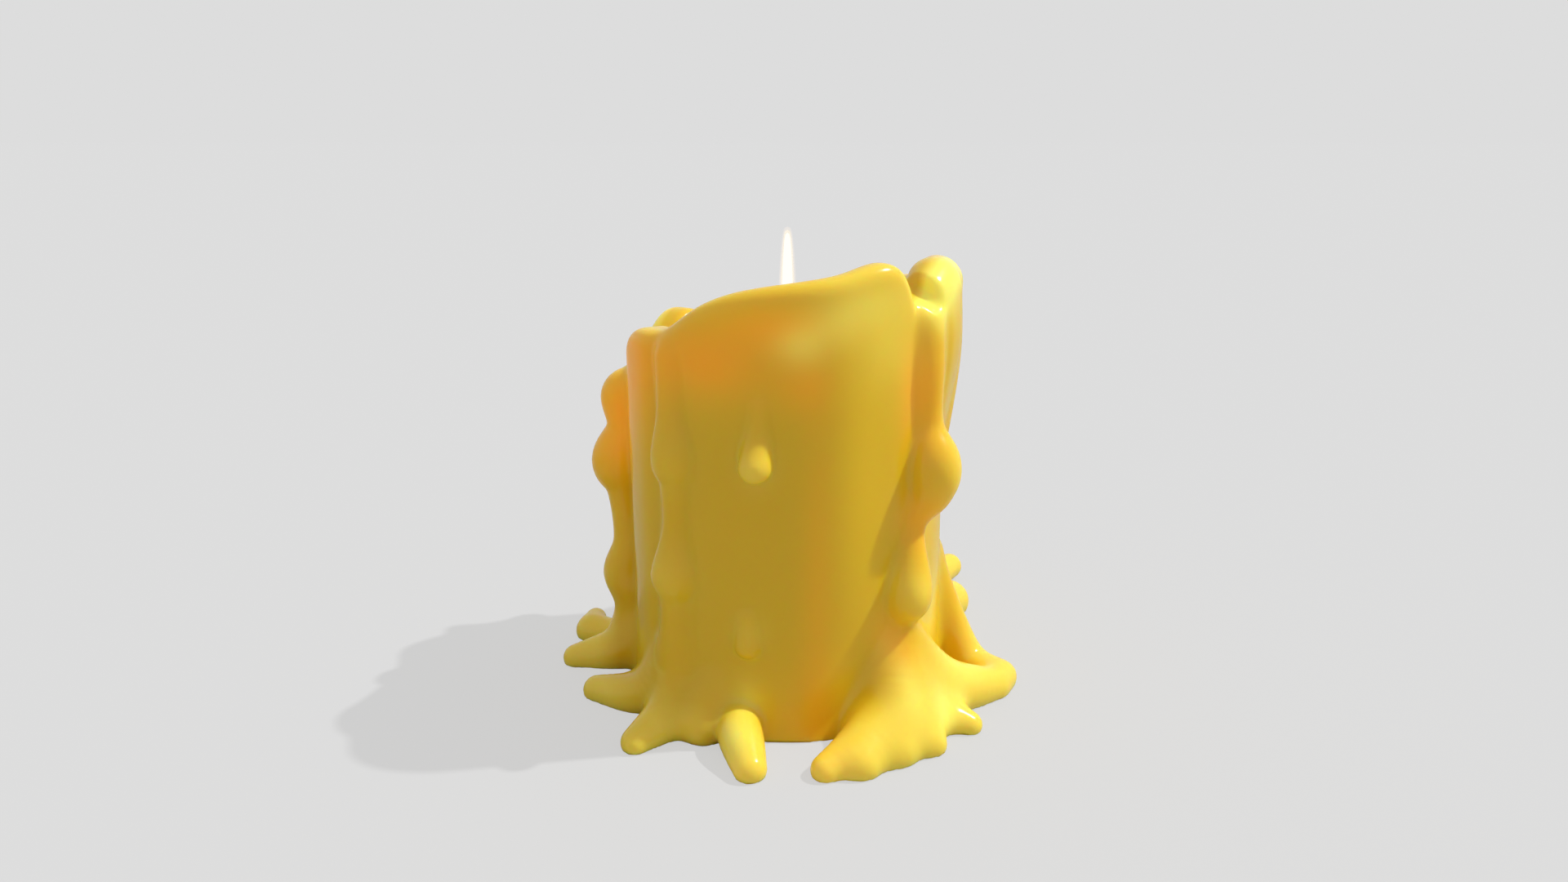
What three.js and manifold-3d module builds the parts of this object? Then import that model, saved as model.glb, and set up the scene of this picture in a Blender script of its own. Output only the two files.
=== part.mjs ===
// A melted pillar candle that still burns: one wax body with its burnt cup, spill notches, runs, beads and
// the toes that spread over the surface it stands on, a cotton wick in its bore, and the flame on the wick.
// Millimetres, +Z up. The origin is on the pillar's axis, on the surface that the candle stands on.
// Azimuths are in degrees from +X towards +Y, so the front of the candle is at -90.

import * as THREE from "three";
import { edgeTable, triTable } from "three/addons/objects/MarchingCubes.js";
import { mergeVertices } from "three/addons/utils/BufferGeometryUtils.js";
import Module from "manifold-3d";

// Pillar, as it was poured
const PILLAR_RADIUS = 37.5;
const WALL_RIPPLE = 0.35;
const WALL_WAVES = [
  { waves: 3, start: 40, twist: 1.43, share: 1 },
  { waves: 5, start: 0, twist: -1.1, share: 0.7 },
];
const FOOT_FLARE = 1.6;
const FOOT_FLARE_HEIGHT = 6;

// Rim, higher on the side that the flame leans away from
const RIM_HEIGHT = 96;
const RIM_LEAN = 8.4;
const RIM_HIGH_SIDE = -46;
const RIM_RIPPLE = 0.5;
const RIM_RIPPLE_WAVES = 7;
const RIM_RIPPLE_START = 20;
const RIM_ROUNDING = 3.6;

// Cup that the flame burnt out of the top, down to the melted pool
const POOL_HEIGHT = 78;
const CUP_WALL = 7.2;
const CUP_TAPER = 0.1;
const CUP_WAVE = 0.9;
const CUP_WAVES = 2;
const CUP_WAVE_START = 30;
const POOL_FILLET = 3;
const LIP_ROUNDING = 2.6;

// Sheet of wax that came over the low side of the rim and froze on the wall
const SHEET_AZIMUTH = -152;
const SHEET_HALF_WIDTH = 10;
const SHEET_EDGE = 1.6;
const SHEET_FOOT_THICKNESS = 0.9;
const SHEET_TOP_THICKNESS = 1.5;
const SHEET_FULL_HEIGHT = 85;

// Wick, its bore and the flame
const WICK_RADIUS = 1.2;
const WICK_CLEARANCE = 0.3;
const WICK_BASE = 4;
const WICK_EXPOSED = 8.5;
const WICK_CURL = 1;
const WICK_CURL_HEIGHT = 4.5;
const WICK_LEAN_HEIGHT = 2.7;
const FLAME_BASE_BELOW_TIP = 4.5;
const FLAME_LENGTH = 29;
const FLAME_RADIUS = 3.2;
const FLAME_WIDEST_HEIGHT = 7.5;
const FLAME_MOUTH_RADIUS = 1.9;
const FLAME_POINT_RADIUS = 0.5;
const FLAME_SHOULDER_SHARE = 0.3;
const FLAME_BELLY_SHARE = 0.3;
const FLAME_NECK_SHARE = 0.75;

// How softly one body of wax runs into the next
const RUN_BLEND = 2.2;
const LOBE_BLEND = 2.5;
const BEAD_BLEND = 1.3;
const FOOT_BLEND = 4;
const TOE_BLEND = 5;

// Grid that the wax surface is worked out on, and the triangles that are left where it bends most
const GRID_CELL = 1.7;
const LEAST_CROSSING = 0.12;
const SLOPE_STEP = 0.5;
const WAX_TRIANGLES = 11500;
const MERGES_A_PASS = 0.1;
const LEAST_TURN = 0.3;
const LEAST_AREA = 0.01;
const LEAST_CLEARNESS = 1e-5;
const EDGE_PENALTY = 0.002;

// Facets of the round pieces
const WICK_CURVE_POINTS = 5;
const WICK_STEPS = 28;
const BORE_SIDES = 16;
const FLAME_CURVE_POINTS = 8;
const FLAME_SIDES = 20;

// Swells and dips of the rim: where, how wide and how far up or down
const RIM_FORMS = [
  { azimuth: 178, spread: 20, rise: -9.5 },
  { azimuth: -155, spread: 7, rise: 0.6 },
  { azimuth: -139, spread: 9, rise: -3 },
  { azimuth: 149, spread: 10, rise: 4 },
  { azimuth: -82, spread: 11, rise: 0.7 },
  { azimuth: -58, spread: 8, rise: 1.2 },
  { azimuth: -37, spread: 5.6, rise: -12.5 },
  { azimuth: 78, spread: 10, rise: -6 },
];

// Runs of wax on the wall. A knot is [azimuth, how far its middle lies beyond the wall, height, radius], and
// the height of what hangs from the rim is taken from the rim's.
const RUNS = [
  // Lobe that stands on the rim beside the deep notch
  {
    blend: LOBE_BLEND,
    knots: [
      [-29, -3.4, RIM_HEIGHT + 1.6, 3.8],
      [-22, -3.2, RIM_HEIGHT + 4, 4.3],
      [-11, -3.1, RIM_HEIGHT + 4.3, 4.4],
      [0, -3.1, RIM_HEIGHT + 3.6, 4.2],
    ],
  },
  // Thin run from the lobe down the right side
  {
    blend: LOBE_BLEND,
    knots: [
      [-8, -1.1, RIM_HEIGHT + 3, 3.9],
      [-11, -0.3, RIM_HEIGHT - 12, 3.1],
      [-13, -0.5, RIM_HEIGHT - 32, 1.6],
    ],
  },
  {
    blend: LOBE_BLEND,
    knots: [
      [-24, -1.6, RIM_HEIGHT + 1, 4.2],
      [-25, -1.3, RIM_HEIGHT - 12, 3.4],
      [-26, -1.8, RIM_HEIGHT - 32, 2.2],
    ],
  },
  // Run out of the deep notch, with two beads
  {
    blend: RUN_BLEND,
    knots: [
      [-30, -3, RIM_HEIGHT + 2, 3.8],
      [-36, -1, RIM_HEIGHT - 3.5, 3.9],
      [-37, 0.2, RIM_HEIGHT - 12, 3.6],
      [-36.5, 0.7, RIM_HEIGHT - 26, 3.3],
      [-37.5, 3.7, RIM_HEIGHT - 35, 5.4],
      [-38, 3.2, RIM_HEIGHT - 40.5, 4.4],
      [-42, 0.5, 46, 2.4],
      [-45, 2.8, 31, 4.6],
      [-46, 1, 27, 3.3],
    ],
  },
  { blend: FOOT_BLEND, knots: [[-47, 0.2, 24, 2.6], [-48, 0.5, 17, 3.2]] },
  // Run at the front left, with two low beads
  {
    blend: RUN_BLEND,
    knots: [
      [-134, -1, RIM_HEIGHT - 10, 3],
      [-132, 0.2, RIM_HEIGHT - 22, 2.6],
      [-131, 0.5, RIM_HEIGHT - 32, 4.4],
      [-131, 0.2, RIM_HEIGHT - 37, 3],
      [-131, 0.2, 48, 2.6],
      [-131, 1.1, 37.5, 5.2],
    ],
  },
  { blend: FOOT_BLEND, knots: [[-131, 0.8, 34, 3.2], [-133, 0.5, 19, 3]] },
  // Heavy run on the left side, with three beads
  {
    blend: RUN_BLEND,
    knots: [
      [180, -0.6, RIM_HEIGHT - 21, 3.4],
      [178, 2.5, RIM_HEIGHT - 25, 4.6],
      [178, 2.5, RIM_HEIGHT - 33, 3.6],
      [177, 4.7, RIM_HEIGHT - 41.8, 5.6],
      [178, 3.6, 47, 3.2],
      [178, 2.5, 34, 3.2],
      [177, 4, 24.6, 4.8],
      [178, 2.2, 21, 3.7],
    ],
  },
  { blend: FOOT_BLEND, knots: [[178, 2.2, 21, 3.7], [178, 1.6, 12, 4]] },
  // Two single drops on the front
  {
    blend: BEAD_BLEND,
    knots: [[-100.5, -1.7, 76, 2.2], [-101, -1, 69, 3.2], [-101.6, 0.7, 65.2, 3.5]],
  },
  { blend: BEAD_BLEND, knots: [[-104, -1.9, 29, 2.6], [-103.8, -1, 22.8, 3.1]] },
  // Hooked end of the far left toe
  { blend: RUN_BLEND, knots: [[163, 19, 2, 3], [158.3, 20.8, 2.6, 2.8]] },
];

// Runs at the back: where each leaves the rim, and the height and radius of its beads. Between them the wax
// is a film that starts a little below the rim and ends above the floor.
const BACK_RUNS = [
  { azimuth: 128, beads: [[60, 5], [30, 4.2]] },
  { azimuth: 78, beads: [[66, 5.6], [38, 5.2]] },
  { azimuth: 36, beads: [[72, 4.4], [34, 4.8]] },
];
const BACK_TOP_DROP = 2.5;
const BACK_FILM_RADIUS = 2.5;
const BACK_FILM_BEYOND = 0.5;
const BACK_BEAD_BEYOND = 2.4;
const BACK_NECK_SHARE = 2;
const BACK_TAIL_SHARE = 0.6;
const BACK_FOOT_HEIGHT = 16;

// Single drops at the back: azimuth, height and radius
const BACK_DROPS = [[104, 48, 3.4], [152, 44, 3.2], [8, 50, 3.4]];
const DROP_TAIL = 11;
const DROP_TAIL_DEPTH = 0.9;
const DROP_TAIL_SHARE = 0.45;
const DROP_BEYOND = 0.1;

// Toes: the azimuth they leave the wall at, the azimuth and reach of the tip beyond the wall, the radius at
// mid length and at the tip, the height on the wall that they start from, how far from the wall they meet the
// floor, how much of their turn is done by then, and how high the tip's middle stands, in its own radii
const TOES = [
  { root: 178, tip: 180, reach: 20.3, girth: 5, end: 3.3, lift: 14 },
  { root: 168, tip: 164, reach: 22.5, girth: 3.6, end: 3.2, lift: 10 },
  { root: -137, tip: -160, reach: 15.1, girth: 5, end: 3.6, lift: 16 },
  { root: -132, tip: -130, reach: 18.4, girth: 5.1, end: 3.5, lift: 20 },
  { root: -116, tip: -120, reach: 5, girth: 4.2, end: 3.8, lift: 12 },
  { root: -107, tip: -98.6, reach: 17.8, girth: 4.7, end: 3.9, lift: 6, foot: 4 },
  { root: -47, tip: -81, reach: 17.4, girth: 6, end: 3.4, lift: 22, foot: 6, bend: 0.35 },
  { root: -49, tip: -72, reach: 18.4, girth: 5.6, end: 4, lift: 18, foot: 5 },
  { root: -48, tip: -61, reach: 17, girth: 5.6, end: 3.8, lift: 18, foot: 5 },
  { root: -46, tip: -52, reach: 17.8, girth: 5.4, end: 3.4, lift: 18, foot: 5 },
  { root: -44, tip: -38, reach: 18.4, girth: 4.6, end: 3, lift: 16, foot: 5 },
  { root: -42, tip: -17.5, reach: 19.8, girth: 5.8, end: 4.4, lift: 20, foot: 5, bend: 0.5 },
  { root: 2, tip: -11, reach: 20.6, girth: 4.2, end: 4, lift: 30, foot: 7.5, bend: 0.35 },
  { root: 26, tip: 35, reach: 25, girth: 6.4, end: 5.8, lift: 20 },
  { root: 42, tip: 48, reach: 39.5, girth: 5, end: 4.4, lift: 12, stand: 0.9 },
  { root: 74, tip: 70, reach: 20.5, girth: 5.6, end: 3.8, lift: 16 },
  { root: 82, tip: 90, reach: 24.5, girth: 5, end: 3.4, lift: 16 },
  { root: 104, tip: 108, reach: 14.5, girth: 4.8, end: 3.6, lift: 12 },
  { root: 126, tip: 122, reach: 22.5, girth: 5.6, end: 3.6, lift: 16 },
  { root: 134, tip: 142, reach: 17.5, girth: 5, end: 3.6, lift: 16 },
];
const TOE_FOOT = 3;
const TOE_BEND = 0.4;
const TOE_ROOT_DEPTH = 1;
const TOE_ROOT_SHARE = 0.55;
const TOE_MID_HEIGHT = 0.95;
const TOE_STAND = 0.45;

const radians = (degrees) => (degrees * Math.PI) / 180;
const clamp = (value, low, high) => Math.min(Math.max(value, low), high);

// The smaller of two distances, rounded over a width of blend where they are alike
function smoothMin(a, b, blend) {
  const h = clamp(0.5 + (0.5 * (b - a)) / blend, 0, 1);
  return b + (a - b) * h - blend * h * (1 - h);
}

function smoothMax(a, b, blend) {
  return -smoothMin(-a, -b, blend);
}

// How far one azimuth is from another, the short way round
function turnBetween(azimuth, from) {
  const turn = (((azimuth - from + 180) % 360) + 360) % 360;
  return turn - 180;
}

function swell(azimuth, at, spread) {
  const share = turnBetween(azimuth, at) / spread;
  return Math.exp(-0.5 * share * share);
}

function pointOnWall(azimuth, beyond, height) {
  const radius = PILLAR_RADIUS + beyond;
  const angle = radians(azimuth);
  return new THREE.Vector3(radius * Math.cos(angle), radius * Math.sin(angle), height);
}

function rimHeight(azimuth) {
  let height = RIM_HEIGHT + RIM_LEAN * Math.cos(radians(azimuth - RIM_HIGH_SIDE));
  for (const form of RIM_FORMS) {
    height += form.rise * swell(azimuth, form.azimuth, form.spread);
  }
  return height + RIM_RIPPLE * Math.cos(radians(RIM_RIPPLE_WAVES * azimuth + RIM_RIPPLE_START));
}

function rimSlope(azimuth) {
  const rise = rimHeight(azimuth + SLOPE_STEP) - rimHeight(azimuth - SLOPE_STEP);
  return rise / radians(2 * SLOPE_STEP);
}

function sheetThickness(azimuth, height) {
  const inside = SHEET_HALF_WIDTH - Math.abs(turnBetween(azimuth, SHEET_AZIMUTH));
  const cover = 1 / (1 + Math.exp(-inside / SHEET_EDGE));
  const up = clamp(height / SHEET_FULL_HEIGHT, 0, 1);
  return cover * (SHEET_FOOT_THICKNESS + (SHEET_TOP_THICKNESS - SHEET_FOOT_THICKNESS) * up);
}

function wallRadius(azimuth, height) {
  let radius = PILLAR_RADIUS + sheetThickness(azimuth, height);
  for (const { waves, start, twist, share } of WALL_WAVES) {
    radius += WALL_RIPPLE * share * Math.cos(radians(waves * azimuth + start + twist * height));
  }
  return radius + FOOT_FLARE * Math.exp(-height / FOOT_FLARE_HEIGHT);
}

function cupRadius(azimuth, height) {
  const wave = CUP_WAVE * Math.cos(radians(CUP_WAVES * azimuth + CUP_WAVE_START));
  return PILLAR_RADIUS - CUP_WALL - wave - (RIM_HEIGHT - height) * CUP_TAPER;
}

// One rounded, tapered bar of wax between two points, with the ball past which it changes nothing
function bar(start, end, startRadius, endRadius, blend) {
  const along = end.clone().sub(start);
  const middle = start.clone().lerp(end, 0.5);
  const reach = along.length() / 2 + Math.max(startRadius, endRadius) + blend + 2 * GRID_CELL;
  return { start, along, middle, reach, startRadius, endRadius, blend };
}

function runBars(knots, blend) {
  const points = knots.map(([azimuth, beyond, height]) => pointOnWall(azimuth, beyond, height));
  const bars = [];
  for (let i = 1; i < knots.length; i++) {
    bars.push(bar(points[i - 1], points[i], knots[i - 1][3], knots[i][3], blend));
  }
  return bars;
}

// A run at the back: a film from the rim to the foot that swells into each bead
function backRunBars({ azimuth, beads }) {
  const film = (height) => [azimuth, BACK_FILM_BEYOND, height, BACK_FILM_RADIUS];
  const bars = [];
  let from = rimHeight(azimuth) - BACK_TOP_DROP;
  for (const [height, radius] of beads) {
    const bead = [azimuth, BACK_BEAD_BEYOND, height, radius];
    bars.push(...runBars([film(from), film(height + BACK_NECK_SHARE * radius), bead], RUN_BLEND));
    from = height - BACK_TAIL_SHARE * radius;
  }
  return [...bars, ...runBars([film(from), film(BACK_FOOT_HEIGHT)], FOOT_BLEND)];
}

function dropBars([azimuth, height, radius]) {
  const knots = [
    [azimuth, -DROP_TAIL_DEPTH, height + DROP_TAIL, DROP_TAIL_SHARE * radius],
    [azimuth, DROP_BEYOND, height, radius],
  ];
  return runBars(knots, BEAD_BLEND);
}

// A toe comes down off the wall, meets the floor and ends in a round tip
function toeBars(toe) {
  const { root, tip, reach, girth, end, lift } = toe;
  const { foot = TOE_FOOT, bend = TOE_BEND, stand = TOE_STAND } = toe;
  const start = pointOnWall(root, -TOE_ROOT_DEPTH, lift);
  const middle = pointOnWall(root + bend * (tip - root), foot, TOE_MID_HEIGHT * girth);
  const last = pointOnWall(tip, reach - end, stand * end);
  return [
    bar(start, middle, TOE_ROOT_SHARE * girth, girth, TOE_BLEND),
    bar(middle, last, girth, end, TOE_BLEND),
  ];
}

const BARS = [
  ...RUNS.flatMap((run) => runBars(run.knots, run.blend)),
  ...BACK_RUNS.flatMap(backRunBars),
  ...BACK_DROPS.flatMap(dropBars),
  ...TOES.flatMap(toeBars),
];

// Distance of a point from the pillar with its cup, below zero inside the wax
function pillarDistance(x, y, height) {
  const azimuth = THREE.MathUtils.radToDeg(Math.atan2(y, x));
  const radius = Math.hypot(x, y);
  const slope = rimSlope(azimuth) / Math.max(radius, PILLAR_RADIUS / 2);
  const side = radius - wallRadius(azimuth, height);
  const top = (height - rimHeight(azimuth)) / Math.hypot(1, slope);
  const cup = smoothMax(radius - cupRadius(azimuth, height), POOL_HEIGHT - height, POOL_FILLET);
  return smoothMax(smoothMax(side, top, RIM_ROUNDING), -cup, LIP_ROUNDING);
}

const offset = new THREE.Vector3();

function barDistance(point, { start, along, startRadius, endRadius }) {
  offset.copy(point).sub(start);
  const share = clamp(offset.dot(along) / along.lengthSq(), 0, 1);
  return offset.addScaledVector(along, -share).length() - (startRadius + (endRadius - startRadius) * share);
}

// Signed distance to the whole wax body, which goes on straight down for a cell under the floor
function waxDistance(x, y, z) {
  const point = new THREE.Vector3(x, y, Math.max(z, 0));
  let distance = pillarDistance(x, y, point.z);
  for (const wax of BARS) {
    if (point.distanceToSquared(wax.middle) > wax.reach * wax.reach) continue;
    distance = smoothMin(distance, barDistance(point, wax), wax.blend);
  }
  return Math.max(distance, -z - GRID_CELL);
}

// Evenly spaced grid planes, half a cell off zero so that none lies on the floor
function gridPlanes(low, high) {
  const first = Math.floor(low / GRID_CELL) - 0.5;
  const count = Math.ceil((high - low) / GRID_CELL) + 2;
  return Array.from({ length: count }, (_, i) => (first + i) * GRID_CELL);
}

// Corner steps of a grid cell, and the two corners of each of its edges, in the order of the two tables
const CORNERS = [[0, 0, 0], [1, 0, 0], [1, 1, 0], [0, 1, 0], [0, 0, 1], [1, 0, 1], [1, 1, 1], [0, 1, 1]];
const RINGS = [[0, 1], [1, 2], [3, 2], [0, 3], [4, 5], [5, 6], [7, 6], [4, 7]];
const UPRIGHTS = [[0, 4], [1, 5], [2, 6], [3, 7]];
const EDGES = [...RINGS, ...UPRIGHTS];

// Marching cubes over a grid of planes that need not be evenly spaced. A crossing keeps off the grid points,
// so that no sliver is left, and off the floor plane, where the wax is cut.
function surfaceOf(distanceAt, xs, ys, zs) {
  const index = (i, j, k) => (k * ys.length + j) * xs.length + i;
  const field = new Float64Array(xs.length * ys.length * zs.length);
  zs.forEach((z, k) => ys.forEach((y, j) => xs.forEach((x, i) => {
    field[index(i, j, k)] = distanceAt(x, y, z);
  })));
  const positions = [];
  const triangles = [];
  const made = new Map();
  const crossing = (from, to) => {
    const [i, j, k] = from;
    const key = index(i, j, k) * 3 + (to[0] > i ? 0 : to[1] > j ? 1 : 2);
    if (!made.has(key)) {
      const a = field[index(...from)];
      const b = field[index(...to)];
      const atFloor = zs[k] < 0 && zs[to[2]] > 0;
      const least = atFloor ? 0.5 + LEAST_CROSSING : LEAST_CROSSING;
      const share = clamp(a / (a - b), least, 1 - LEAST_CROSSING);
      made.set(key, positions.length / 3);
      positions.push(
        xs[i] + (xs[to[0]] - xs[i]) * share,
        ys[j] + (ys[to[1]] - ys[j]) * share,
        zs[k] + (zs[to[2]] - zs[k]) * share,
      );
    }
    return made.get(key);
  };
  for (let k = 0; k < zs.length - 1; k++) {
    for (let j = 0; j < ys.length - 1; j++) {
      for (let i = 0; i < xs.length - 1; i++) {
        const corners = CORNERS.map(([di, dj, dk]) => [i + di, j + dj, k + dk]);
        const code = corners.reduce((sum, c, n) => sum + (field[index(...c)] > 0 ? 2 ** n : 0), 0);
        if (edgeTable[code] === 0) continue;
        for (let t = code * 16; triTable[t] >= 0; t++) {
          const [a, b] = EDGES[triTable[t]];
          triangles.push(crossing(corners[a], corners[b]));
        }
      }
    }
  }
  const geometry = new THREE.BufferGeometry();
  geometry.setAttribute("position", new THREE.Float32BufferAttribute(positions, 3));
  geometry.setIndex(triangles);
  return geometry;
}

const manifold = await Module();
manifold.setup();

function solidFrom(geometry) {
  const bare = geometry.clone();
  bare.deleteAttribute("normal");
  bare.deleteAttribute("uv");
  const merged = mergeVertices(bare);
  const vertProperties = new Float32Array(merged.attributes.position.array);
  const triVerts = new Uint32Array(merged.index.array);
  return new manifold.Manifold(new manifold.Mesh({ numProp: 3, vertProperties, triVerts }));
}

function geometryFrom(solid) {
  const { vertProperties, triVerts } = solid.getMesh();
  const geometry = new THREE.BufferGeometry();
  geometry.setAttribute("position", new THREE.BufferAttribute(vertProperties, 3));
  geometry.setIndex(new THREE.BufferAttribute(triVerts, 1));
  const faceted = geometry.toNonIndexed();
  faceted.computeVertexNormals();
  return faceted;
}

// The wick's middle line: straight up the bore, then curled over where it burns. It can go on past the tip.
function wickLine(beyondTip = 0) {
  const tip = new THREE.Vector3(WICK_CURL, 0, POOL_HEIGHT + WICK_EXPOSED);
  const bend = new THREE.Vector3(0, 0, tip.z - WICK_CURL_HEIGHT);
  const lean = new THREE.Vector3(0, 0, bend.z + WICK_LEAN_HEIGHT);
  const line = new THREE.CurvePath();
  line.add(new THREE.LineCurve3(new THREE.Vector3(0, 0, WICK_BASE), bend));
  line.add(new THREE.QuadraticBezierCurve3(bend, lean, tip));
  if (beyondTip > 0) {
    const end = tip.clone().sub(lean).setLength(beyondTip).add(tip);
    line.add(new THREE.LineCurve3(tip, end));
  }
  return line;
}

function tubeAlong(line, radius) {
  const section = new THREE.Shape().absarc(0, 0, radius, 0, 2 * Math.PI, false);
  return new THREE.ExtrudeGeometry(section, {
    curveSegments: WICK_CURVE_POINTS,
    steps: WICK_STEPS,
    extrudePath: line,
  });
}

function boreGeometry() {
  const radius = WICK_RADIUS + WICK_CLEARANCE;
  const bottom = WICK_BASE - WICK_CLEARANCE;
  const top = POOL_HEIGHT + WICK_EXPOSED;
  const bore = new THREE.CylinderGeometry(radius, radius, top - bottom, BORE_SIDES);
  return bore.rotateX(Math.PI / 2).translate(0, 0, (top + bottom) / 2);
}

// Teardrop outline of the flame, from its mouth at the bottom to its point
function flameGeometry() {
  const bottom = POOL_HEIGHT + WICK_EXPOSED - FLAME_BASE_BELOW_TIP;
  const widest = bottom + FLAME_WIDEST_HEIGHT;
  const tip = bottom + FLAME_LENGTH;
  const shoulder = THREE.MathUtils.lerp(bottom, widest, FLAME_SHOULDER_SHARE);
  const belly = THREE.MathUtils.lerp(widest, tip, FLAME_BELLY_SHARE);
  const neck = THREE.MathUtils.lerp(widest, tip, FLAME_NECK_SHARE);
  const outline = new THREE.Path();
  outline.moveTo(0, bottom);
  outline.lineTo(FLAME_MOUTH_RADIUS, bottom);
  outline.quadraticCurveTo(FLAME_RADIUS, shoulder, FLAME_RADIUS, widest);
  outline.bezierCurveTo(FLAME_RADIUS, belly, FLAME_POINT_RADIUS, neck, 0, tip);
  return new THREE.LatheGeometry(outline.getPoints(FLAME_CURVE_POINTS), FLAME_SIDES).rotateX(Math.PI / 2);
}

const QUADRIC_TERMS = 10;

// Squared distance to a set of planes, as the ten numbers of a symmetric matrix
function planeQuadric(normal, offset, weight) {
  const plane = [normal.x, normal.y, normal.z, offset];
  return plane.flatMap((a, row) => plane.slice(row).map((b) => weight * a * b));
}

function quadricError(q, { x, y, z }) {
  const squares = q[0] * x * x + q[4] * y * y + q[7] * z * z + q[9];
  return squares + 2 * (q[1] * x * y + q[2] * x * z + q[3] * x + q[5] * y * z + q[6] * y + q[8] * z);
}

// The point nearest to all planes of a quadric, or the edge's middle where that is far off or unclear
function bestPoint(q, a, b) {
  const middle = a.clone().lerp(b, 0.5);
  const matrix = new THREE.Matrix3().set(q[0], q[1], q[2], q[1], q[4], q[5], q[2], q[5], q[7]);
  const size = q[0] + q[4] + q[7];
  if (matrix.determinant() < LEAST_CLEARNESS * size ** 3) return middle;
  const point = new THREE.Vector3(-q[3], -q[6], -q[8]).applyMatrix3(matrix.invert());
  return point.distanceTo(middle) > a.distanceTo(b) ? middle : point;
}

// Merges short and flat edges until few enough triangles are left. An edge is merged only where the surface
// stays closed and no triangle turns over, and what lies on the floor stays on it.
function thinned({ vertProperties, triVerts }, target) {
  const points = [];
  for (let i = 0; i < vertProperties.length; i += 3) {
    points.push(new THREE.Vector3().fromArray(vertProperties, i));
  }
  const faces = [];
  const around = points.map(() => new Set());
  const quadrics = points.map(() => new Array(QUADRIC_TERMS).fill(0));
  for (let i = 0; i < triVerts.length; i += 3) {
    const face = [...triVerts.slice(i, i + 3)];
    const { normal, area } = facePlane(face.map((v) => points[v]));
    const quadric = planeQuadric(normal, -normal.dot(points[face[0]]), area);
    for (const v of face) {
      around[v].add(faces.length);
      quadric.forEach((value, n) => (quadrics[v][n] += value));
    }
    faces.push(face);
  }
  let left = faces.length;
  while (left > target) {
    const merges = edgeMerges(points, faces, quadrics);
    const busy = new Set();
    const before = left;
    for (const merge of merges.slice(0, Math.ceil(merges.length * MERGES_A_PASS))) {
      if (left <= target) break;
      if (busy.has(merge.a) || busy.has(merge.b) || !canMerge(merge, points, faces, around)) continue;
      for (const face of [...around[merge.a], ...around[merge.b]]) faces[face].forEach((v) => busy.add(v));
      left -= mergeEdge(merge, points, faces, around, quadrics);
    }
    if (left === before) break;
  }
  const geometry = new THREE.BufferGeometry().setFromPoints(points);
  geometry.setIndex(faces.filter(Boolean).flat());
  return geometry.toNonIndexed();
}

function facePlane([a, b, c]) {
  const normal = b.clone().sub(a).cross(c.clone().sub(a));
  const area = normal.length() / 2;
  return { normal: normal.normalize(), area };
}

// Every edge with the point it would merge to and what that costs, the cheapest first
function edgeMerges(points, faces, quadrics) {
  const merges = [];
  for (const face of faces) {
    if (!face) continue;
    for (let n = 0; n < 3; n++) {
      const a = face[n];
      const b = face[(n + 1) % 3];
      if (a > b) continue;
      const sum = quadrics[a].map((value, i) => value + quadrics[b][i]);
      const point = bestPoint(sum, points[a], points[b]);
      const onFloor = points[a].z === 0 || points[b].z === 0;
      point.z = onFloor ? 0 : Math.max(point.z, 0);
      const cost = quadricError(sum, point) + EDGE_PENALTY * points[a].distanceToSquared(points[b]);
      merges.push({ a, b, point, cost });
    }
  }
  return merges.sort((one, other) => one.cost - other.cost);
}

function canMerge({ a, b, point }, points, faces, around) {
  const neighbours = (v) => new Set([...around[v]].flatMap((face) => faces[face]));
  const near = neighbours(a);
  const shared = [...neighbours(b)].filter((v) => near.has(v));
  if (shared.length !== 4) return false;
  for (const face of new Set([...around[a], ...around[b]])) {
    const corners = faces[face];
    if (corners.includes(a) && corners.includes(b)) continue;
    const was = facePlane(corners.map((v) => points[v]));
    const now = facePlane(corners.map((v) => (v === a || v === b ? point : points[v])));
    if (was.normal.dot(now.normal) < LEAST_TURN || now.area < LEAST_AREA) return false;
  }
  return true;
}

function mergeEdge({ a, b, point }, points, faces, around, quadrics) {
  points[a].copy(point);
  quadrics[b].forEach((value, n) => (quadrics[a][n] += value));
  let gone = 0;
  for (const face of [...around[b]]) {
    if (faces[face].includes(a)) {
      for (const v of faces[face]) around[v].delete(face);
      faces[face] = null;
      gone++;
    } else {
      faces[face] = faces[face].map((v) => (v === b ? a : v));
      around[a].add(face);
    }
  }
  around[b].clear();
  return gone;
}

function waxBody() {
  const reach = PILLAR_RADIUS + Math.max(...TOES.map((toe) => toe.reach)) + 2 * GRID_CELL;
  const knotTops = RUNS.flatMap((run) => run.knots.map(([, , height, radius]) => height + radius));
  const top = Math.max(RIM_HEIGHT + RIM_LEAN, ...knotTops) + 2 * GRID_CELL;
  const across = gridPlanes(-reach, reach);
  const grown = solidFrom(surfaceOf(waxDistance, across, across, gridPlanes(-GRID_CELL, top)));
  const under = new THREE.BoxGeometry(4 * reach, 4 * reach, 4 * GRID_CELL);
  under.translate(0, 0, -2 * GRID_CELL);
  const standing = grown.subtract(solidFrom(under));
  const drawn = thinned(standing.getMesh(), WAX_TRIANGLES);
  return geometryFrom(solidFrom(drawn).subtract(solidFrom(boreGeometry())));
}

function flame() {
  const pocket = tubeAlong(wickLine(WICK_CLEARANCE), WICK_RADIUS + WICK_CLEARANCE);
  return geometryFrom(solidFrom(flameGeometry()).subtract(solidFrom(pocket)));
}

function piece(name, geometry, look) {
  const mesh = new THREE.Mesh(geometry, new THREE.MeshStandardMaterial(look));
  mesh.name = name;
  return mesh;
}

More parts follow.
